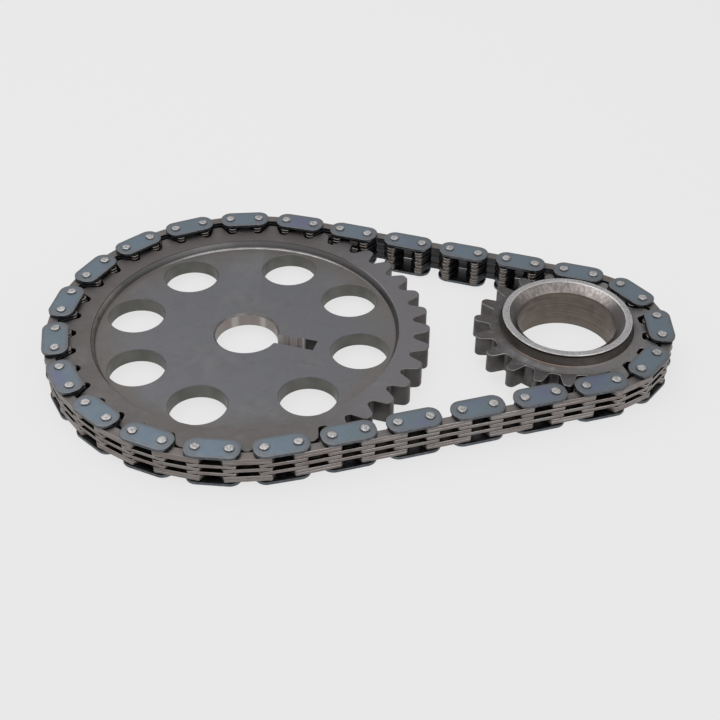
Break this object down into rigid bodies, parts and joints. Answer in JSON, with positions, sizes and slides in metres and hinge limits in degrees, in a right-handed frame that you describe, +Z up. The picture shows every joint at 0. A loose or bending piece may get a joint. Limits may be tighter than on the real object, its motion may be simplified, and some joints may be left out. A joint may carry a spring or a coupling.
{
  "type": "silent timing chain and sprocket set",
  "caption": "Inverted tooth timing chain with riveted guide links, wrapped round a large holed cam sprocket and a small hubbed crank sprocket.",
  "frame": {"origin": "middle of the footprint, on the surface that the set lies on", "axes": "+X from the cam sprocket to the crank sprocket, +Z up along both sprockets' axes"},
  "size_m": [0.256, 0.1644, 0.0193],
  "materials": {
    "web_steel": "dark oiled sintered steel",
    "hub_steel": "dark oiled steel, worn bright on the hub's rim",
    "blue_steel": "blued plate with bright rivet ends",
    "plate_steel": "brown oiled plate edges"
  },
  "bodies": {
    "chain_loop": {"guide_link_21": "blue_steel", "inner_link_21": "plate_steel", "guide_link_22": "blue_steel", "inner_link_22": "plate_steel", "guide_link_23": "blue_steel", "inner_link_23": "plate_steel", "guide_link_24": "blue_steel", "inner_link_24": "plate_steel", "guide_link_25": "blue_steel", "inner_link_25": "plate_steel", "guide_link_01": "blue_steel", "inner_link_01": "plate_steel", "guide_link_02": "blue_steel", "inner_link_02": "plate_steel", "guide_link_03": "blue_steel", "inner_link_03": "plate_steel", "guide_link_04": "blue_steel", "inner_link_04": "plate_steel", "guide_link_05": "blue_steel", "inner_link_05": "plate_steel", "guide_link_06": "blue_steel", "inner_link_06": "plate_steel", "guide_link_07": "blue_steel", "inner_link_12": "plate_steel", "guide_link_13": "blue_steel", "inner_link_13": "plate_steel", "guide_link_14": "blue_steel", "inner_link_14": "plate_steel", "guide_link_15": "blue_steel", "inner_link_15": "plate_steel"},
    "cam_sprocket": {"cam_sprocket": "web_steel"},
    "crank_sprocket": {"crank_sprocket": "hub_steel"},
    "back_run_01": {"inner_link_07": "plate_steel"},
    "back_run_02": {"guide_link_08": "blue_steel"},
    "back_run_03": {"inner_link_08": "plate_steel"},
    "back_run_04": {"guide_link_09": "blue_steel"},
    "back_run_05": {"inner_link_09": "plate_steel"},
    "back_run_06": {"guide_link_10": "blue_steel"},
    "back_run_07": {"inner_link_10": "plate_steel"},
    "back_run_08": {"guide_link_11": "blue_steel"},
    "back_run_09": {"inner_link_11": "plate_steel"},
    "back_run_10": {"guide_link_12": "blue_steel"},
    "front_run_01": {"guide_link_16": "blue_steel"},
    "front_run_02": {"inner_link_16": "plate_steel"},
    "front_run_03": {"guide_link_17": "blue_steel"},
    "front_run_04": {"inner_link_17": "plate_steel"},
    "front_run_05": {"guide_link_18": "blue_steel"},
    "front_run_06": {"inner_link_18": "plate_steel"},
    "front_run_07": {"guide_link_19": "blue_steel"},
    "front_run_08": {"inner_link_19": "plate_steel"},
    "front_run_09": {"guide_link_20": "blue_steel"},
    "front_run_10": {"inner_link_20": "plate_steel"}
  },
  "joints": [
    {"name": "cam_sprocket_spin", "type": "hinge", "parent": "chain_loop", "child": "cam_sprocket", "pos_m": [-0.04614, 0, 0.0078], "axis": [0, 0, 1], "continuous": true, "deforming": ["guide_link_01", "inner_link_01", "guide_link_02", "inner_link_02", "guide_link_03", "inner_link_03", "guide_link_04", "inner_link_04", "guide_link_05", "inner_link_05", "guide_link_06", "inner_link_06", "guide_link_07", "inner_link_07", "guide_link_08", "inner_link_11", "guide_link_12", "inner_link_12", "guide_link_13", "inner_link_13", "guide_link_14", "inner_link_14", "guide_link_15", "inner_link_15", "guide_link_16", "inner_link_16", "guide_link_20", "inner_link_20", "guide_link_21", "inner_link_21", "guide_link_22", "inner_link_22", "guide_link_23", "inner_link_23", "guide_link_24", "inner_link_24", "guide_link_25", "inner_link_25"]},
    {"name": "crank_sprocket_spin", "type": "hinge", "parent": "chain_loop", "child": "crank_sprocket", "pos_m": [0.08469, 0, 0.0078], "axis": [0, 0, 1], "continuous": true},
    {"name": "back_run_bow", "type": "hinge", "parent": "chain_loop", "child": "back_run_01", "pos_m": [-0.02118, 0.07273, 0.0078], "axis": [0, 0, 1], "range_deg": [0, 5.4]},
    {"name": "back_run_pin_02", "type": "hinge", "parent": "back_run_01", "child": "back_run_02", "pos_m": [-0.00904, 0.06899, 0.0078], "axis": [0, 0, 1], "range_deg": [-1.25, 0]},
    {"name": "back_run_pin_03", "type": "hinge", "parent": "back_run_02", "child": "back_run_03", "pos_m": [0.0031, 0.06525, 0.0078], "axis": [0, 0, 1], "range_deg": [-1.25, 0]},
    {"name": "back_run_pin_04", "type": "hinge", "parent": "back_run_03", "child": "back_run_04", "pos_m": [0.01523, 0.06151, 0.0078], "axis": [0, 0, 1], "range_deg": [-1.25, 0]},
    {"name": "back_run_pin_05", "type": "hinge", "parent": "back_run_04", "child": "back_run_05", "pos_m": [0.02737, 0.05777, 0.0078], "axis": [0, 0, 1], "range_deg": [-1.25, 0]},
    {"name": "back_run_pin_06", "type": "hinge", "parent": "back_run_05", "child": "back_run_06", "pos_m": [0.03951, 0.05403, 0.0078], "axis": [0, 0, 1], "range_deg": [-1.25, 0]},
    {"name": "back_run_pin_07", "type": "hinge", "parent": "back_run_06", "child": "back_run_07", "pos_m": [0.05164, 0.05029, 0.0078], "axis": [0, 0, 1], "range_deg": [-1.25, 0]},
    {"name": "back_run_pin_08", "type": "hinge", "parent": "back_run_07", "child": "back_run_08", "pos_m": [0.06378, 0.04655, 0.0078], "axis": [0, 0, 1], "range_deg": [-1.25, 0]},
    {"name": "back_run_pin_09", "type": "hinge", "parent": "back_run_08", "child": "back_run_09", "pos_m": [0.07592, 0.04281, 0.0078], "axis": [0, 0, 1], "range_deg": [-1.25, 0]},
    {"name": "back_run_pin_10", "type": "hinge", "parent": "back_run_09", "child": "back_run_10", "pos_m": [0.08805, 0.03907, 0.0078], "axis": [0, 0, 1], "range_deg": [-1.25, 0]},
    {"name": "front_run_bow", "type": "hinge", "parent": "chain_loop", "child": "front_run_01", "pos_m": [0.10019, -0.03533, 0.0078], "axis": [0, 0, 1], "range_deg": [0, 5.4]},
    {"name": "front_run_pin_02", "type": "hinge", "parent": "front_run_01", "child": "front_run_02", "pos_m": [0.08805, -0.03907, 0.0078], "axis": [0, 0, 1], "range_deg": [-1.25, 0]},
    {"name": "front_run_pin_03", "type": "hinge", "parent": "front_run_02", "child": "front_run_03", "pos_m": [0.07592, -0.04281, 0.0078], "axis": [0, 0, 1], "range_deg": [-1.25, 0]},
    {"name": "front_run_pin_04", "type": "hinge", "parent": "front_run_03", "child": "front_run_04", "pos_m": [0.06378, -0.04655, 0.0078], "axis": [0, 0, 1], "range_deg": [-1.25, 0]},
    {"name": "front_run_pin_05", "type": "hinge", "parent": "front_run_04", "child": "front_run_05", "pos_m": [0.05164, -0.05029, 0.0078], "axis": [0, 0, 1], "range_deg": [-1.25, 0]},
    {"name": "front_run_pin_06", "type": "hinge", "parent": "front_run_05", "child": "front_run_06", "pos_m": [0.03951, -0.05403, 0.0078], "axis": [0, 0, 1], "range_deg": [-1.25, 0]},
    {"name": "front_run_pin_07", "type": "hinge", "parent": "front_run_06", "child": "front_run_07", "pos_m": [0.02737, -0.05777, 0.0078], "axis": [0, 0, 1], "range_deg": [-1.25, 0]},
    {"name": "front_run_pin_08", "type": "hinge", "parent": "front_run_07", "child": "front_run_08", "pos_m": [0.01523, -0.06151, 0.0078], "axis": [0, 0, 1], "range_deg": [-1.25, 0]},
    {"name": "front_run_pin_09", "type": "hinge", "parent": "front_run_08", "child": "front_run_09", "pos_m": [0.0031, -0.06525, 0.0078], "axis": [0, 0, 1], "range_deg": [-1.25, 0]},
    {"name": "front_run_pin_10", "type": "hinge", "parent": "front_run_09", "child": "front_run_10", "pos_m": [-0.00904, -0.06899, 0.0078], "axis": [0, 0, 1], "range_deg": [-1.25, 0]}
  ],
  "couplings": [
    {"joint": "crank_sprocket_spin", "follows": "cam_sprocket_spin", "ratio": 2},
    {"joint": "back_run_pin_02", "follows": "back_run_bow", "ratio": -0.22222},
    {"joint": "back_run_pin_03", "follows": "back_run_bow", "ratio": -0.22222},
    {"joint": "back_run_pin_04", "follows": "back_run_bow", "ratio": -0.22222},
    {"joint": "back_run_pin_05", "follows": "back_run_bow", "ratio": -0.22222},
    {"joint": "back_run_pin_06", "follows": "back_run_bow", "ratio": -0.22222},
    {"joint": "back_run_pin_07", "follows": "back_run_bow", "ratio": -0.22222},
    {"joint": "back_run_pin_08", "follows": "back_run_bow", "ratio": -0.22222},
    {"joint": "back_run_pin_09", "follows": "back_run_bow", "ratio": -0.22222},
    {"joint": "back_run_pin_10", "follows": "back_run_bow", "ratio": -0.22222},
    {"joint": "front_run_pin_02", "follows": "front_run_bow", "ratio": -0.22222},
    {"joint": "front_run_pin_03", "follows": "front_run_bow", "ratio": -0.22222},
    {"joint": "front_run_pin_04", "follows": "front_run_bow", "ratio": -0.22222},
    {"joint": "front_run_pin_05", "follows": "front_run_bow", "ratio": -0.22222},
    {"joint": "front_run_pin_06", "follows": "front_run_bow", "ratio": -0.22222},
    {"joint": "front_run_pin_07", "follows": "front_run_bow", "ratio": -0.22222},
    {"joint": "front_run_pin_08", "follows": "front_run_bow", "ratio": -0.22222},
    {"joint": "front_run_pin_09", "follows": "front_run_bow", "ratio": -0.22222},
    {"joint": "front_run_pin_10", "follows": "front_run_bow", "ratio": -0.22222}
  ]
}
